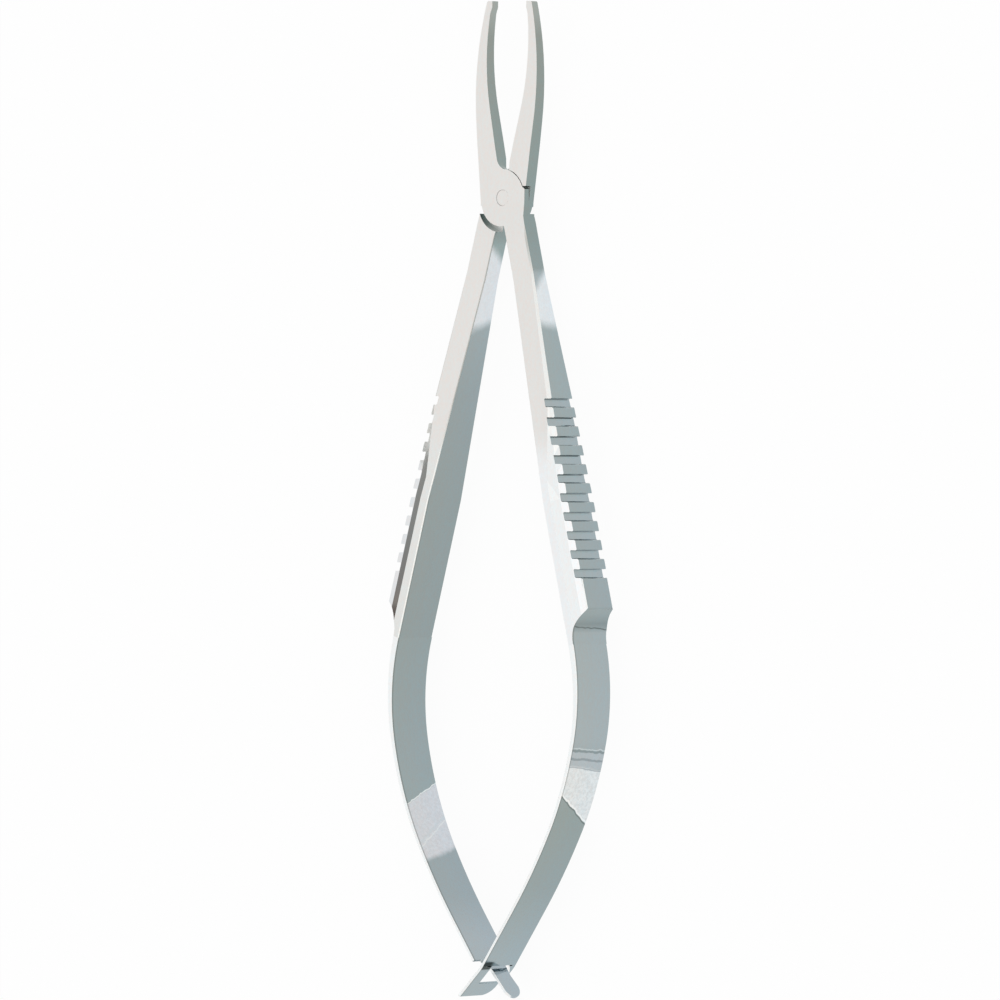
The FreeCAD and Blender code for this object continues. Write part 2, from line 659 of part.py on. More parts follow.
def tongue_waste():
    """What is cut from the back leaf's end, on both edges, to leave a round ended tongue."""
    edge = "Sizes.leaf_half_height"
    clear = "(Sizes.leaf_half_height + 1)"
    low = "Sizes.tongue_neck_height - Sizes.tongue_top"
    centre = "Sizes.tongue_end_drop"
    round_start = "Sizes.tongue_reach - Sizes.tongue_end_radius"
    return [
        ("-Sizes.tongue_shoulder", f"-{clear}"),
        ("-Sizes.tongue_shoulder", f"-{edge} + Sizes.tongue_shoulder_height"),
        ("-Sizes.tongue_throat / 2", "-Sizes.tongue_top * 1.3"),
        ("0", "-Sizes.tongue_top"),
        (round_start, f"{centre} - Sizes.tongue_end_radius", "Sizes.tongue_end_radius", 1),
        ("Sizes.tongue_reach", centre, "Sizes.tongue_end_radius", 1),
        (round_start, f"{centre} + Sizes.tongue_end_radius"),
        ("Sizes.tongue_throat", low),
        ("-Sizes.tongue_heel", low),
        ("-Sizes.tongue_heel * 1.2", edge),
        ("-Sizes.tongue_heel * 1.2", clear),
        ("Sizes.leaf_half_height * 2.5", clear),
        ("Sizes.leaf_half_height * 2.5", f"-{clear}"),
    ]


def make_leaf(name, leaf, waste):
    """One leaf spring, cut to its hook or tongue."""
    body = doc.addObject("PartDesign::Body", name)
    body.Label = name
    pad_both_ways(body, f"{name}_strip", leaf_plan(body, leaf), "Sizes.leaf_half_height")
    sketch = leaf_side_sketch(body, f"{name}_end", leaf)
    trace(sketch, waste)
    doc.recompute()
    cut_through(body, f"{name}_end_cut", sketch)
    return body


def make_screw(name):
    """Pivot screw: shank through both arms, slotted head sunk in the back arm."""
    body = doc.addObject("PartDesign::Body", name)
    body.Label = name
    half = new_sketch(body, f"{name}_profile", "XZ_Plane")
    top = "Sizes.joint_half_height - Sizes.screw_end_recess"
    back = "-(Sizes.joint_half_height - Sizes.screw_end_recess)"
    head = "-(Sizes.joint_half_height - Sizes.screw_head_height)"
    trace(half, [
        ("0", back),
        ("Sizes.screw_head_radius", back),
        ("Sizes.screw_head_radius", head),
        ("Sizes.pivot_radius", head),
        ("Sizes.pivot_radius", top),
        ("0", top),
    ])
    doc.recompute()
    turned = body.newObject("PartDesign::Revolution", f"{name}_turned")
    turned.Profile = half
    turned.ReferenceAxis = (half, ["V_Axis"])
    turned.Angle = 360
    doc.recompute()
    slot = new_sketch(body, f"{name}_slot")
    slot.AttachmentOffset = FreeCAD.Placement(FreeCAD.Vector(0, 0, 1), FreeCAD.Rotation())
    slot.setExpression("AttachmentOffset.Base.z", f"{back} + Sizes.screw_slot_depth")
    reach = "Sizes.screw_head_radius * 1.2"
    side = "Sizes.screw_slot_width / 2"
    trace(slot, [
        (f"-{reach}", f"-{side}"),
        (reach, f"-{side}"),
        (reach, side),
        (f"-{reach}", side),
    ])
    doc.recompute()
    cut_through(body, f"{name}_slot_cut", slot, both_ways=False)
    return body


def place(body, turned_over):
    """Moves a body from the pivot's frame to the part's frame."""
    turn = FreeCAD.Rotation(FreeCAD.Vector(0, 1, 0), 180 if turned_over else 0)
    body.Placement = FreeCAD.Placement(FreeCAD.Vector(0, 1, 1), turn)
    body.setExpression("Placement.Base.y", "Layout.pivot_place")
    body.setExpression("Placement.Base.z", "Sizes.body_half_height")


front_arm = make_arm("front_arm", counterbore=False, lean="-")
back_arm = make_arm("back_arm", counterbore=True, lean="")
front_spring = make_leaf("front_spring", "front", hook_waste())
back_spring = make_leaf("back_spring", "back", tongue_waste())
pivot_screw = make_screw("pivot_screw")

place(front_arm, False)
place(back_arm, True)
place(front_spring, False)
place(back_spring, True)
place(pivot_screw, False)
doc.recompute()

# Every object is sound before anything is written
for item in doc.Objects:
    if "Invalid" in item.State or "Error" in item.State:
        raise RuntimeError(f"{item.Label} failed to build")

os.makedirs("parts", exist_ok=True)
for body in (front_arm, back_arm, front_spring, back_spring, pivot_screw):
    shape = body.Shape
    if shape.isNull() or not shape.isValid() or len(shape.Solids) != 1:
        raise RuntimeError(f"{body.Label} is not one sound solid")
    shape.exportStep(f"parts/{body.Label}.step")
    print(f"{body.Label}: {shape.Volume:.2f} mm3, box {shape.BoundBox}")
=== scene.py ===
import math

import bmesh
import bpy
from mathutils import Matrix, Vector


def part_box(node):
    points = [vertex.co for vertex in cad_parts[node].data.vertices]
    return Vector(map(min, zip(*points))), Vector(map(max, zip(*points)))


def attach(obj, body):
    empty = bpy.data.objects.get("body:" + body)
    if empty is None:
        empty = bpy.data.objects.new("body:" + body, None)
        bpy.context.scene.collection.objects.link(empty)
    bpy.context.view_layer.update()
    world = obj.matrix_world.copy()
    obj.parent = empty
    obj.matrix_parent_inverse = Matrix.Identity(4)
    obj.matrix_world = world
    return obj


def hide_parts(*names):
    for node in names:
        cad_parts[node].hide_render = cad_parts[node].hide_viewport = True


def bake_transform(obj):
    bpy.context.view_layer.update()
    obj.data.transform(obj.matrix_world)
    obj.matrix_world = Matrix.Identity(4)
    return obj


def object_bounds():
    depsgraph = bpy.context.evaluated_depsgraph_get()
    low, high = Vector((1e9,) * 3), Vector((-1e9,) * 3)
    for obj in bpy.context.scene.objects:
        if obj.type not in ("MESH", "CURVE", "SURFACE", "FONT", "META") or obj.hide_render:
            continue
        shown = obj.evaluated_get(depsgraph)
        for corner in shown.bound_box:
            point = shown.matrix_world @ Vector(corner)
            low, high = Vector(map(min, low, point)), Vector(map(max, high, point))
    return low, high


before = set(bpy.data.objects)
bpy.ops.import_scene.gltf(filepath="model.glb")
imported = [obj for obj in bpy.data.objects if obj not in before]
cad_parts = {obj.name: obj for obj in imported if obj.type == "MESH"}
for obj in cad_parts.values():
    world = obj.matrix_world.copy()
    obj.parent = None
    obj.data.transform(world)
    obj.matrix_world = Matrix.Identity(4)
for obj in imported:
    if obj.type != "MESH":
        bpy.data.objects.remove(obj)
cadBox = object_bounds()
print("frame loaded")

mm = 0.001
handleAngle = math.radians(14.8)  # between a handle's outer side and the part's long axis
screwLow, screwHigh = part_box("pivot_screw")
pivotAt = (screwLow + screwHigh) / 2  # where the two arms turn
partLow, partHigh = cadBox
midHeight = (partLow.z + partHigh.z) / 2


# small helpers for the node trees

def newMaterial(name):
    material = bpy.data.materials.new(name)
    material.use_nodes = True
    tree = material.node_tree
    tree.nodes.clear()
    return material, tree


def addNode(tree, kind, **settings):
    node = tree.nodes.new(kind)
    for key, setting in settings.items():
        setattr(node, key, setting)
    return node


def feed(tree, source, target):
    tree.links.new(source, target)


def fill(tree, slot, item):
    if isinstance(item, tuple):
        slot.default_value = (*item, 1.0)
    elif isinstance(item, (int, float)):
        slot.default_value = item
    else:
        feed(tree, item, slot)


def mathNode(tree, operation, first, second=None, clamp=False):
    node = addNode(tree, "ShaderNodeMath", operation=operation, use_clamp=clamp)
    fill(tree, node.inputs[0], first)
    if second is not None:
        fill(tree, node.inputs[1], second)
    return node.outputs[0]


def mixColour(tree, share, first, second, blend="MIX"):
    node = addNode(tree, "ShaderNodeMix", data_type="RGBA", blend_type=blend)
    fill(tree, node.inputs[0], share)
    fill(tree, node.inputs[6], first)
    fill(tree, node.inputs[7], second)
    return node.outputs[2]


def mixNumber(tree, share, first, second):
    node = addNode(tree, "ShaderNodeMix", data_type="FLOAT")
    fill(tree, node.inputs[0], share)
    fill(tree, node.inputs[2], first)
    fill(tree, node.inputs[3], second)
    return node.outputs[0]


def smoothRange(tree, signal, low, high, outLow=0.0, outHigh=1.0):
    node = addNode(tree, "ShaderNodeMapRange", interpolation_type="SMOOTHSTEP")
    feed(tree, signal, node.inputs["Value"])
    node.inputs["From Min"].default_value = low
    node.inputs["From Max"].default_value = high
    node.inputs["To Min"].default_value = outLow
    node.inputs["To Max"].default_value = outHigh
    return node.outputs["Result"]


# 1 above a place in millimetres and 0 below it, over a soft border, and the other way round

def rising(tree, signal, at, soft):
    return smoothRange(tree, signal, (at - soft / 2) * mm, (at + soft / 2) * mm)


def falling(tree, signal, at, soft):
    return smoothRange(tree, signal, (at + soft / 2) * mm, (at - soft / 2) * mm)


def metres(span):
    return [end * mm for end in span]


# the steel: satin flats and polished sides; the sides' darker, cooler tone that changes along the
# length is painted reflection, and the broken edges carry painted highlights and shade

levels = {              # how level the faces of each kind lie: the upward part of their normals
    "flat": (0.975, 0.99),
    "tooth": (0.960, 0.952),
    "edge": (0.934, 0.926),
    "side": (0.55, 0.40),
}

noises = {              # "span" is the part of a noise's range that is used
    "wander": {"stretch": (1.0, 0.7, 1.0), "scale": 700.0, "detail": 2.0, "span": (0.25, 0.75)},
    "speckle": {"stretch": (1.0, 1.1, 1.0), "scale": 2100.0, "detail": 4.0, "span": (0.35, 0.65)},
    "mottle": {"stretch": (1.0, 0.6, 1.0), "scale": 2600.0, "detail": 2.0, "span": (0.3, 0.7)},
    "grain": {"stretch": (1.0, 0.06, 1.0), "scale": 900.0, "detail": 3.0, "span": (0.3, 0.7)},
}

toneReach = 80          # millimetres to either side of the middle that the lists of tones can cover
lineSoft = 0.1          # millimetres over which the border of a fine line fades

steel = {
    "flatFront": (0.838, 0.818, 0.80),
    "flatRear": (0.825, 0.832, 0.82),
    "flatChange": (10.5, 4.0),   # millimetres along the part where one goes over to the other
    "flatRough": 0.40,
    "toothTop": (0.91, 0.925, 0.945),
    "facet": [(10, (0.86, 0.87, 0.87)), (4, (0.845, 0.865, 0.877))],
    "facetRough": 0.07,
    "facetStart": (9.5, 3.0),    # the facets begin satin here and grow polished
    "sideRough": 0.10,
    "paintedGlints": [],
    "paintedLines": [],
    "corner": None,
    "wander": 0.25,     # millimetres that the borders of the bright stretches wander
    "rimShade": (6.70, 6.92),    # height of the painted shade line under the upper edge, in millimetres
    "rimShadeTone": (0.12, 0.13, 0.11),
    "rimShadeShare": 0.45,
    "mottle": 0.03,
    "mottleWarmth": 0.98,
    "lowTint": (0.98, 1.0, 1.01),   # cooler on the lower part of the sides
    "highTint": (1.0, 0.99, 0.97),
    "tintReach": 2.2,   # millimetres below and above the middle height
    "grainRough": 0.03,
    "grainStrength": 0.5,
    "grainDepth": 0.0035 * mm,
}

grip = {                # the grooves across the outer sides of the handles, in millimetres, with painted light on their floors and walls and painted shade in their corners
    "zone": (-13.35, 14.85),    # along the part
    "zoneSoft": 0.3,
    "outerFrom": 1.6,   # distances from a line through the pivot along the outer side
    "outerSoft": 0.2,
    "floorTo": 2.7,
    "floorSoft": 0.1,
    "floorTone": (0.385, 0.445, 0.47),
    "cornerTo": 2.86,
    "cornerSoft": 0.06,
    "cornerTone": (0.12, 0.14, 0.14),
    "paintedWallTone": (0.97, 1.0, 1.0),
    "wallFacing": (0.85, 0.92),     # lengthwise part of the walls' normals
}


def addNoise(tree, surface, kind):
    mapping = addNode(tree, "ShaderNodeMapping")
    feed(tree, surface["place"], mapping.inputs["Vector"])
    mapping.inputs["Scale"].default_value = noises[kind]["stretch"]
    texture = addNode(tree, "ShaderNodeTexNoise")
    texture.inputs["Scale"].default_value = noises[kind]["scale"]
    texture.inputs["Detail"].default_value = noises[kind]["detail"]
    feed(tree, mapping.outputs["Vector"], texture.inputs["Vector"])
    return texture.outputs["Fac"]


def spread(tree, noise, kind, outLow=0.0, outHigh=1.0):
    low, high = noises[kind]["span"]
    return smoothRange(tree, noise, low, high, outLow, outHigh)


def readSurface(tree):
    place = addNode(tree, "ShaderNodeTexCoord").outputs["Object"]
    spot = addNode(tree, "ShaderNodeSeparateXYZ")
    feed(tree, place, spot.inputs[0])
    normal = addNode(tree, "ShaderNodeSeparateXYZ")
    feed(tree, addNode(tree, "ShaderNodeNewGeometry").outputs["True Normal"], normal.inputs[0])
    level = mathNode(tree, "ABSOLUTE", normal.outputs["Z"])
    surface = {kind: smoothRange(tree, level, low, high) for kind, (low, high) in levels.items()}
    surface["lengthwise"] = mathNode(tree, "ABSOLUTE", normal.outputs["Y"])
    surface["place"] = place
    for axis in ("X", "Y", "Z"):
        surface[axis] = spot.outputs[axis]
    return surface


def toneAlong(tree, surface, stops):
    share = addNode(tree, "ShaderNodeMapRange")
    feed(tree, surface["Y"], share.inputs["Value"])
    share.inputs["From Min"].default_value = -toneReach * mm
    share.inputs["From Max"].default_value = toneReach * mm
    ramp = addNode(tree, "ShaderNodeValToRGB")
    feed(tree, share.outputs["Result"], ramp.inputs[0])
    places = sorted(stops)
    while len(ramp.color_ramp.elements) < len(places):
        ramp.color_ramp.elements.new(1.0)
    for element, (millimetres, tone) in zip(ramp.color_ramp.elements, places):
        element.position = (millimetres + toneReach) / (2 * toneReach)
        element.color = (*tone, 1.0)
    return ramp.outputs["Color"]


def leaning(tree, surface, wobble, lean):
    tilt = mathNode(tree, "MULTIPLY", surface["Z"], lean)
    along = mathNode(tree, "SUBTRACT", surface["Y"], tilt)
    along = mathNode(tree, "ADD", along, lean * midHeight)
    return mathNode(tree, "ADD", along, wobble)


def addPaintedGlint(tree, surface, wobble, specks, side, glint):
    enter = leaning(tree, surface, wobble, glint["lean"][0])
    leave = leaning(tree, surface, wobble, glint["lean"][1])
    share = mathNode(
        tree, "MULTIPLY",
        falling(tree, enter, glint["span"][0], glint["soft"][0]),
        rising(tree, leave, glint["span"][1], glint["soft"][1]))
    weaker = tuple(part * (1.0 - glint["speckle"]) for part in glint["tone"])
    return mixColour(tree, share, side, mixColour(tree, specks, weaker, glint["tone"]))


# a thin painted line across a side: painted reflection, light or dark, and painted shade in a
# crease
def addPaintedLine(tree, surface, wobble, side, line):
    at, lean, width, tone = line
    away = mathNode(tree, "SUBTRACT", leaning(tree, surface, wobble, lean), at * mm)
    away = mathNode(tree, "ABSOLUTE", away)
    return mixColour(tree, falling(tree, away, width / 2, lineSoft), side, tone)


# painted shade in the slot of the front spring's hook
def addSlotShade(tree, surface, side, corner):
    away = mathNode(tree, "SUBTRACT", surface["Y"], corner["at"] * mm)
    away = mathNode(tree, "ABSOLUTE", away)
    near = falling(tree, away, corner["half"], corner["halfSoft"])
    high = rising(tree, surface["Z"], corner["above"], corner["aboveSoft"])
    return mixColour(tree, mathNode(tree, "MULTIPLY", near, high), side, corner["tone"])


def addGrooves(tree, surface, side):
    across = mathNode(tree, "ABSOLUTE", surface["X"])
    across = mathNode(tree, "MULTIPLY", across, math.cos(handleAngle))
    behind = mathNode(tree, "SUBTRACT", surface["Y"], pivotAt.y)
    behind = mathNode(tree, "MULTIPLY", behind, math.sin(handleAngle))
    outward = mathNode(tree, "ADD", across, behind)
    farEnd, nearEnd = grip["zone"]
    within = mathNode(
        tree, "MULTIPLY",
        rising(tree, surface["Y"], farEnd, grip["zoneSoft"]),
        falling(tree, surface["Y"], nearEnd, grip["zoneSoft"]))
    outer = rising(tree, outward, grip["outerFrom"], grip["outerSoft"])
    within = mathNode(tree, "MULTIPLY", within, outer)
    # the lighter groove floors are painted reflection
    floor = falling(tree, outward, grip["floorTo"], grip["floorSoft"])
    side = mixColour(tree, mathNode(tree, "MULTIPLY", floor, within), side, grip["floorTone"])
    # painted light on the groove walls, and painted shade in the corners where they meet the floors
    low, high = grip["wallFacing"]
    wall = smoothRange(tree, surface["lengthwise"], low, high)
    corner = falling(tree, outward, grip["cornerTo"], grip["cornerSoft"])
    paintedWallTone = mixColour(tree, corner, grip["paintedWallTone"], grip["cornerTone"])
    return mixColour(tree, mathNode(tree, "MULTIPLY", wall, within), side, paintedWallTone)


def sideColour(tree, surface, values):
    half = values["wander"] / 2 * mm
    wobble = spread(tree, addNoise(tree, surface, "wander"), "wander", -half, half)
    specks = spread(tree, addNoise(tree, surface, "speckle"), "speckle")
    # painted reflection: the side's tone changes along the length
    side = toneAlong(tree, surface, values["sides"])
    for glint in values["paintedGlints"]:
        side = addPaintedGlint(tree, surface, wobble, specks, side, glint)
    for line in values["paintedLines"]:
        side = addPaintedLine(tree, surface, wobble, side, line)
    if values["corner"]:
        side = addSlotShade(tree, surface, side, values["corner"])
    # painted shade under the upper edge of the side
    low, high = metres(values["rimShade"])
    rimShade = smoothRange(tree, surface["Z"], low, high, 0.0, values["rimShadeShare"])
    side = mixColour(tree, rimShade, side, values["rimShadeTone"])
    return addGrooves(tree, surface, side)


def upperColour(tree, surface, values):
    changeFrom, changeTo = metres(values["flatChange"])
    rear = smoothRange(tree, surface["Y"], changeFrom, changeTo)
    colour = mixColour(tree, rear, values["flatFront"], values["flatRear"])
    colour = mixColour(tree, surface["flat"], values["toothTop"], colour)
    colour = mixColour(tree, surface["tooth"], colour, toneAlong(tree, surface, values["facet"]))
    # painted highlights and shade on the broken edges
    return mixColour(tree, surface["edge"], colour, toneAlong(tree, surface, values["edges"]))


# fine mottling everywhere, and on the sides a little warmer above and cooler below
def addTints(tree, surface, colour, values):
    weak = 1.0 - values["mottle"]
    fine = spread(tree, addNoise(tree, surface, "mottle"), "mottle")
    mottle = mixColour(tree, fine, (1.0, weak, weak * values["mottleWarmth"]), (weak, 1.0, 1.0))
    colour = mixColour(tree, 1.0, colour, mottle, "MULTIPLY")
    reach = values["tintReach"] * mm
    height = smoothRange(tree, surface["Z"], midHeight - reach, midHeight + reach)
    tint = mixColour(tree, height, values["lowTint"], values["highTint"])
    return mixColour(tree, surface["side"], colour, tint, "MULTIPLY")


def addGrain(tree, surface, shader, values):
    grain = addNoise(tree, surface, "grain")
    polishFrom, polishTo = metres(values["facetStart"])
    facetRough = smoothRange(
        tree, surface["Y"], polishFrom, polishTo, values["flatRough"], values["facetRough"])
    rough = mixNumber(tree, surface["flat"], facetRough, values["flatRough"])
    rough = mixNumber(tree, surface["side"], rough, values["sideRough"])
    uneven = spread(tree, grain, "grain", -values["grainRough"], values["grainRough"])
    feed(tree, mathNode(tree, "ADD", rough, uneven), shader.inputs["Roughness"])
    bump = addNode(tree, "ShaderNodeBump")
    bump.inputs["Strength"].default_value = values["grainStrength"]
    bump.inputs["Distance"].default_value = values["grainDepth"]
    feed(tree, grain, bump.inputs["Height"])
    feed(tree, bump.outputs["Normal"], shader.inputs["Normal"])


def makeSteel(name, values):
    material, tree = newMaterial(name)
    out = addNode(tree, "ShaderNodeOutputMaterial")
    shader = addNode(tree, "ShaderNodeBsdfPrincipled")
    shader.inputs["Metallic"].default_value = 1.0
    feed(tree, shader.outputs["BSDF"], out.inputs["Surface"])
    surface = readSurface(tree)
    colour = upperColour(tree, surface, values)
    colour = mixColour(tree, surface["side"], colour, sideColour(tree, surface, values))
    colour = addTints(tree, surface, colour, values)
    feed(tree, colour, shader.inputs["Base Color"])
    addGrain(tree, surface, shader, values)
    return material


# In the lists of tones each place along the part, in millimetres, has its tone. A glint is a
# painted reflection, a bright stretch of a side: where it begins and ends, how its two borders
# lean over the height of the side and how soft they are. A painted line has its place, lean,
# width and tone; it is a thin painted reflection, light or dark, and on the front arm painted
# shade in a crease.

# side tones: the sides of the same steel as the flats, darker and changing along the length as
# painted reflection
jawSides = [
    (68, (0.37, 0.40, 0.38)),
    (65, (0.30, 0.33, 0.31)),
    (46, (0.28, 0.34, 0.335)),
    (37, (0.275, 0.335, 0.335)),
]
# edge tones: painted highlights along the broken edges, and painted shade where they are darker
jawEdgeLightAndShade = [
    (70, (0.90, 0.88, 0.83)),
    (53, (0.92, 0.90, 0.85)),
    (49, (1.0, 1.0, 0.98)),
    (43, (1.0, 1.0, 0.98)),
    (36, (0.60, 0.60, 0.57)),
]

frontArm = {
    **steel,
    "flatRear": (0.92, 0.935, 0.953),
    "toothTop": (0.95, 0.96, 0.975),
    "edges": jawEdgeLightAndShade + [(31, (0.92, 0.92, 0.90)), (5, (0.98, 0.99, 0.98))],
    "sides": jawSides + [
        (32.1, (0.30, 0.36, 0.365)),
        (31.8, (0.41, 0.47, 0.495)),
        (24.0, (0.355, 0.42, 0.435)),
        (-14.4, (0.35, 0.41, 0.43)),
        (-14.9, (0.31, 0.37, 0.38)),
        (-16.0, (0.31, 0.37, 0.38)),
        (-16.8, (0.26, 0.31, 0.32)),
        (-17.4, (0.25, 0.30, 0.31)),
        (-17.65, (0.385, 0.44, 0.455)),
    ],
    "paintedGlints": [
        {"span": (30.9, 24.6), "lean": (-1.0, 0.1), "soft": (2.0, 2.0),
         "tone": (0.765, 0.81, 0.85), "speckle": 0.03},
    ],
    # painted shade in the crease at the lower end of the step
    "paintedLines": [(-17.5, 0.06, 0.16, (0.15, 0.18, 0.18))],
}

backArm = {
    **steel,
    "toothTop": (0.84, 0.855, 0.875),
    "edges": jawEdgeLightAndShade + [(14, (0.62, 0.62, 0.59)), (5, (1.0, 1.0, 0.97))],
    "facet": [
        (10, (0.93, 0.93, 0.91)),
        (3, (0.97, 0.99, 0.95)),
        (-6, (0.83, 0.855, 0.84)),
        (-12, (0.76, 0.735, 0.71)),
        (-14.9, (0.84, 0.77, 0.70)),
        (-16.1, (0.36, 0.29, 0.25)),
    ],
    "sides": jawSides + [
        (35.5, (0.32, 0.40, 0.40)),
        (23.5, (0.35, 0.41, 0.43)),
        (15.0, (0.32, 0.375, 0.39)),
        (0, (0.31, 0.36, 0.365)),
        (-19, (0.31, 0.36, 0.365)),
    ],
    "paintedGlints": [
        {"span": (34.4, 24.4), "lean": (0.65, -0.33), "soft": (1.9, 2.0),
         "tone": (0.735, 0.77, 0.81), "speckle": 0.03},
    ],
}

springSteel = {
    **steel,
    "flatFront": (0.95, 0.97, 0.98),
    "flatRear": (0.95, 0.97, 0.98),
    "edges": [(0, (0.95, 0.96, 0.96)), (-70, (0.95, 0.96, 0.96))],
}

frontSpring = {
    **springSteel,
    "sides": [
        (-19, (0.39, 0.445, 0.46)),
        (-33, (0.40, 0.455, 0.475)),
        (-43.0, (0.315, 0.37, 0.365)),
        (-54, (0.315, 0.375, 0.385)),
        (-64, (0.36, 0.43, 0.46)),
    ],
    "paintedGlints": [
        {"span": (-34.85, -37.0), "lean": (0.06, 0.06), "soft": (0.15, 0.2),
         "tone": (0.47, 0.52, 0.55), "speckle": 0.03},
        {"span": (-37.0, -42.9), "lean": (0.12, 0.60), "soft": (0.6, 0.14),
         "tone": (0.79, 0.82, 0.835), "speckle": 0.12},
    ],
    "paintedLines": [
        (-34.35, 0.06, 0.14, (0.56, 0.62, 0.64)),
        (-34.65, 0.06, 0.30, (0.27, 0.32, 0.335)),
        (-35.8, 0.08, 0.30, (0.31, 0.355, 0.38)),
        (-37.1, 0.12, 0.14, (0.42, 0.46, 0.49)),
        (-42.72, 0.60, 0.22, (0.90, 0.92, 0.92)),
        (-43.0, 0.60, 0.20, (0.19, 0.23, 0.225)),
    ],
    "corner": {         # shade in the slot, in millimetres
        "at": -65.35,
        "half": 0.55,
        "halfSoft": 0.24,
        "above": 5.1,
        "aboveSoft": 1.0,
        "tone": (0.05, 0.065, 0.065),
    },
}

backSpring = {
    **springSteel,
    "sides": [
        (-19, (0.315, 0.37, 0.375)),
        (-36, (0.33, 0.39, 0.405)),
        (-41.0, (0.33, 0.395, 0.41)),
        (-50.0, (0.335, 0.395, 0.42)),
        (-56.0, (0.34, 0.40, 0.43)),
        (-62.0, (0.40, 0.46, 0.50)),
    ],
    "paintedGlints": [
        {"span": (-42.05, -50.3), "lean": (-0.38, -0.2), "soft": (0.18, 0.9),
         "tone": (0.65, 0.675, 0.72), "speckle": 0.07},
    ],
    "paintedLines": [
        (-41.95, -0.38, 0.16, (0.76, 0.80, 0.81)),
        (-47.0, -0.5, 0.35, (0.60, 0.64, 0.68)),
        (-47.5, -0.5, 0.20, (0.70, 0.735, 0.76)),
    ],
}

pivotScrew = {**steel, "sides": jawSides, "edges": jawEdgeLightAndShade}

frontArmSteel = makeSteel("frontArmSteel", frontArm)
backArmSteel = makeSteel("backArmSteel", backArm)
frontSpringSteel = makeSteel("frontSpringSteel", frontSpring)
backSpringSteel = makeSteel("backSpringSteel", backSpring)
screwSteel = makeSteel("screwSteel", pivotScrew)
print("steel made")


# every solid is dressed as its own mesh, with its edges broken

edge = {
    "width": 0.13 * mm,
    "segments": 1,
    "broken": 24.0,     # degrees between two faces whose edge is broken
    "crisp": 4.0,       # degrees between two upper faces that meet in a line
    "upperFrom": 0.7,   # upward part of an upper face's normal
    "armEdge": 2.0 * mm,    # on the arms only longer edges behind the screw are broken
    "armNext": 0.3 * mm,    # and none that meets an edge shorter than this
}

heel = {                # where an arm passes into its leaf, with no seam to be seen
    "distance": 64.3 * mm,
    "reach": 0.03 * mm,
}

meshCare = {
    "weld": 0.0005 * mm,
    "flatten": math.radians(0.35),
    "cutReach": 0.00001 * mm,
}


def atHeel(point):
    along = abs(point.x) * math.sin(handleAngle) - (point.y - pivotAt.y) * math.cos(handleAngle)
    return abs(along - heel["distance"]) < heel["reach"]


def isArmEdge(line):
    shortest = min(other.calc_length() for vertex in line.verts for other in vertex.link_edges)
    behind = all(vertex.co.y < pivotAt.y for vertex in line.verts)
    return behind and line.calc_length() > edge["armEdge"] and shortest > edge["armNext"]


def markEdges(work, longOnly):
    work.normal_update()
    weight = work.edges.layers.float.new("bevel_weight_edge")
    for line in work.edges:
        if len(line.link_faces) != 2:
            continue
        turn = math.degrees(line.calc_face_angle(0.0))
        upper = min(abs(face.normal.z) for face in line.link_faces) > edge["upperFrom"]
        line.smooth = turn < (edge["crisp"] if upper else edge["broken"])
        seam = all(atHeel(vertex.co) for vertex in line.verts)
        broken = turn > edge["broken"] and not seam
        if longOnly:
            broken = broken and isArmEdge(line)
        line[weight] = 1.0 if broken else 0.0


def cleanCopy(node, name, slices=(), longOnly=False):
    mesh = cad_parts[node].data.copy()
    work = bmesh.new()
    work.from_mesh(mesh)
    bmesh.ops.remove_doubles(work, verts=work.verts, dist=meshCare["weld"])
    bmesh.ops.dissolve_limit(
        work, angle_limit=meshCare["flatten"], use_dissolve_boundaries=False,
        verts=work.verts, edges=work.edges, delimit={"NORMAL"})
    for cut in slices:
        bmesh.ops.bisect_plane(
            work, geom=work.verts[:] + work.edges[:] + work.faces[:], dist=meshCare["cutReach"],
            plane_co=(0, cut, 0), plane_no=(0, 1, 0))
    markEdges(work, longOnly)
    work.to_mesh(mesh)
    work.free()
    mesh.name = name
    mesh.materials.clear()
    if "custom_normal" in mesh.attributes:
        mesh.attributes.remove(mesh.attributes["custom_normal"])
    for polygon in mesh.polygons:
        polygon.use_smooth = True
    piece = bpy.data.objects.new(name, mesh)
    bpy.context.scene.collection.objects.link(piece)
    return piece


def breakEdges(piece, clamped):
    bevel = piece.modifiers.new("brokenEdges", "BEVEL")
    bevel.width = edge["width"]
    bevel.segments = edge["segments"]
    bevel.limit_method = "WEIGHT"
    bevel.use_clamp_overlap = clamped
    bevel.harden_normals = True
    bevel.miter_outer = "MITER_SHARP"


def dressArm(node, name, body, finish):
    arm = cleanCopy(node, name, longOnly=True)
    breakEdges(arm, clamped=False)
    arm.data.materials.append(finish)
    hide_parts(node)
    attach(arm, body)


dressArm("front_arm", "frontArm", "front_half", frontArmSteel)
dressArm("back_arm", "backArm", "back_half", backArmSteel)

screw = cleanCopy("pivot_screw", "pivotScrew")
screw.data.materials.append(screwSteel)
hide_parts("pivot_screw")
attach(screw, "front_half")
print("arms and screw dressed")


# the leaves are cut into slices along their length

leaf = {
    "sliceEvery": 1.6 * mm,
    "heelAt": -20.0 * mm,
    "crossingAt": -66.1 * mm,
}


def dressLeaf(node, name, finish):
    heelAt, every = leaf["heelAt"], leaf["sliceEvery"]
    length = heelAt - leaf["crossingAt"]
    cuts = [heelAt - every * (step + 1) for step in range(int(length / every))]
    piece = cleanCopy(node, name, cuts)
    breakEdges(piece, clamped=True)
    piece.data.materials.append(finish)
    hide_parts(node)
    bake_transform(piece)


dressLeaf("front_spring", "frontSpring", frontSpringSteel)
dressLeaf("back_spring", "backSpring", backSpringSteel)
print("leaves dressed")


# pale floor that stays white around the part and keeps its soft shadow

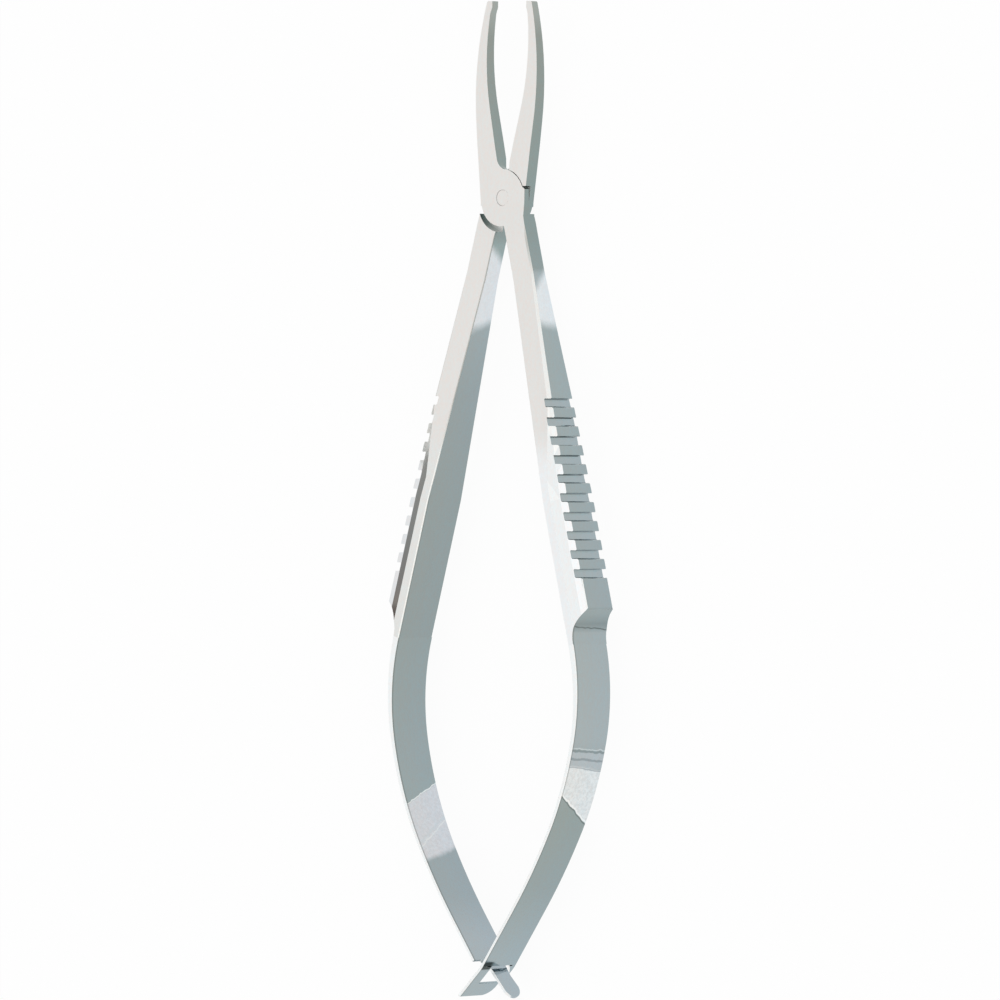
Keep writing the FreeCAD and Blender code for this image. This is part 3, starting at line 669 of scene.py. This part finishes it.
studio = {
    "floorColour": (0.95, 0.95, 0.95),
    "floorGlow": 0.93,  # share of plain white that the camera and the steel see in the floor
    "floorSize": 6.0,
    "floorDrop": 0.02 * mm,
    "worldLevel": 0.92,
    "lowLevel": 0.27,   # darker strip low on the left, which the grips' facets show
    "lowStrip": (0.16, 0.30),
    "leftSide": (-0.2, -0.7),
    "topPower": 0.5,
    "topSize": 1.3,
    "topAt": (-0.15, 0.1, 1.3),
}


def makeFloor():
    material, tree = newMaterial("paleFloor")
    out = addNode(tree, "ShaderNodeOutputMaterial")
    diffuse = addNode(tree, "ShaderNodeBsdfDiffuse")
    diffuse.inputs["Color"].default_value = (*studio["floorColour"], 1.0)
    glow = addNode(tree, "ShaderNodeEmission")
    glow.inputs["Color"].default_value = (1.0, 1.0, 1.0, 1.0)
    ray = addNode(tree, "ShaderNodeLightPath")
    seen = mathNode(tree, "ADD", ray.outputs["Is Camera Ray"], ray.outputs["Is Glossy Ray"])
    seen = mathNode(tree, "ADD", seen, ray.outputs["Is Transmission Ray"], clamp=True)
    both = addNode(tree, "ShaderNodeMixShader")
    feed(tree, mathNode(tree, "MULTIPLY", seen, studio["floorGlow"]), both.inputs[0])
    feed(tree, diffuse.outputs["BSDF"], both.inputs[1])
    feed(tree, glow.outputs["Emission"], both.inputs[2])
    feed(tree, both.outputs["Shader"], out.inputs["Surface"])
    half = studio["floorSize"] / 2
    corners = [(-half, -half, 0), (half, -half, 0), (half, half, 0), (-half, half, 0)]
    mesh = bpy.data.meshes.new("floor")
    mesh.from_pydata(corners, [], [(0, 1, 2, 3)])
    floor = bpy.data.objects.new("floor", mesh)
    floor.location.z = -studio["floorDrop"]
    bpy.context.scene.collection.objects.link(floor)
    mesh.materials.append(material)


def makeWorld():
    world = bpy.data.worlds.new("studioWorld")
    bpy.context.scene.world = world
    world.use_nodes = True
    tree = world.node_tree
    tree.nodes.clear()
    out = addNode(tree, "ShaderNodeOutputWorld")
    sky = addNode(tree, "ShaderNodeBackground")
    sky.inputs["Color"].default_value = (1.0, 1.0, 1.0, 1.0)
    way = addNode(tree, "ShaderNodeSeparateXYZ")
    feed(tree, addNode(tree, "ShaderNodeTexCoord").outputs["Generated"], way.inputs[0])
    low, high = studio["lowStrip"]
    rise = smoothRange(tree, way.outputs["Z"], low, high, studio["lowLevel"], 1.0)
    leftFrom, leftTo = studio["leftSide"]
    leftShare = smoothRange(tree, way.outputs["X"], leftFrom, leftTo)
    level = mixNumber(tree, leftShare, 1.0, rise)
    feed(tree, mathNode(tree, "MULTIPLY", level, studio["worldLevel"]), sky.inputs["Strength"])
    feed(tree, sky.outputs["Background"], out.inputs["Surface"])


def addLamp(name, place, size, power, aim):
    light = bpy.data.lights.new(name, "AREA")
    light.shape = "SQUARE"
    light.size = size
    light.energy = power
    lamp = bpy.data.objects.new(name, light)
    lamp.location = place
    lamp.rotation_euler = (Vector(aim) - Vector(place)).to_track_quat("-Z", "Y").to_euler()
    bpy.context.scene.collection.objects.link(lamp)


makeFloor()
makeWorld()
addLamp("overhead", studio["topAt"], studio["topSize"], studio["topPower"], (0, 0, 0))
print("studio set")


# camera turned about the part's long axis, as in the photograph

cameraPlan = {
    "turn": 42.0,       # degrees from straight above, towards the right handle
    "leanForward": 0.9,  # degrees towards the jaws
    "roll": 1.02,
    "distance": 1.2,
    "millimetresPerPixel": 0.1403,
    "imageSize": 1000,
    "pivotPixel": (507.2, 198.0),
    "sensorWidth": 36.0,
    "clip": (0.05, 20.0),
}


def addCamera():
    turn = math.radians(cameraPlan["turn"])
    lean = math.radians(cameraPlan["leanForward"])
    flatShare = math.cos(lean)
    back = Vector((math.sin(turn) * flatShare, math.sin(lean), math.cos(turn) * flatShare))
    up = (Vector((0, 1, 0)) - back * back.y).normalized()
    right = up.cross(back)
    roll = math.radians(cameraPlan["roll"])
    upRolled = up * math.cos(roll) - right * math.sin(roll)
    rightRolled = right * math.cos(roll) + up * math.sin(roll)
    step = cameraPlan["millimetresPerPixel"] * mm
    centre = cameraPlan["imageSize"] / 2
    across, down = cameraPlan["pivotPixel"]
    middle = Vector((pivotAt.x, pivotAt.y, midHeight))
    aim = middle - rightRolled * ((across - centre) * step) - upRolled * ((centre - down) * step)
    place = Matrix((rightRolled, upRolled, back)).transposed().to_4x4()
    place.translation = aim + back * cameraPlan["distance"]
    lens = bpy.data.cameras.new("photoCamera")
    lens.sensor_width = cameraPlan["sensorWidth"]
    frameWidth = cameraPlan["imageSize"] * step
    lens.lens = cameraPlan["sensorWidth"] * cameraPlan["distance"] / frameWidth
    lens.clip_start, lens.clip_end = cameraPlan["clip"]
    camera = bpy.data.objects.new("photoCamera", lens)
    bpy.context.scene.collection.objects.link(camera)
    camera.matrix_world = place
    bpy.context.scene.camera = camera


addCamera()
bpy.context.scene.view_settings.view_transform = "Standard"
print("camera placed")

bpy.context.view_layer.update()
